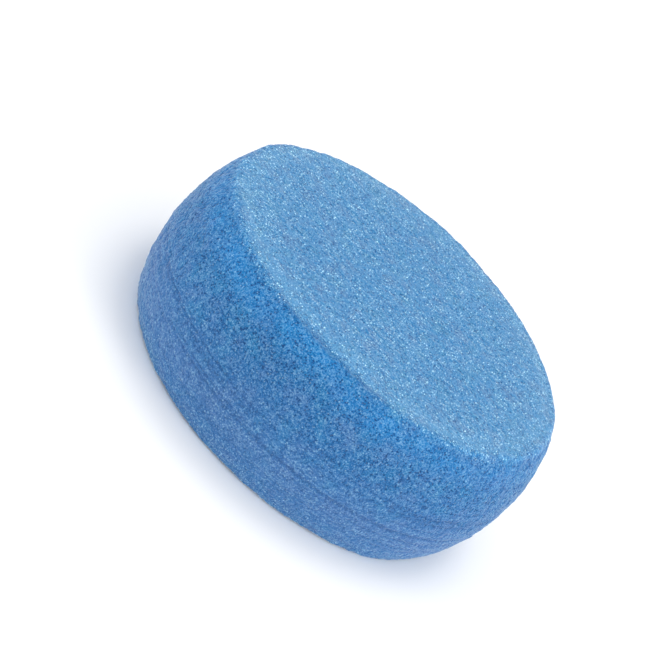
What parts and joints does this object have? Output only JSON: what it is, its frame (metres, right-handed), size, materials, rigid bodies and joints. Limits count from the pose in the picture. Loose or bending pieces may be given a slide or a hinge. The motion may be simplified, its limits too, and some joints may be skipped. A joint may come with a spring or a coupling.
{
  "type": "foam puck",
  "caption": "Soft foam hockey-style puck: a solid round disc with two flat faces and a gently barrelled side.",
  "frame": {"origin": "centre of the flat face the puck rests on", "axes": "+Z along the puck's axis, up through its thickness; it is round, so X and Y are any two directions across it"},
  "size_m": [0.076, 0.076, 0.0276],
  "materials": {
    "blue_foam": "matte"
  },
  "bodies": {
    "root": {"foam_body": "blue_foam"}
  },
  "joints": []
}
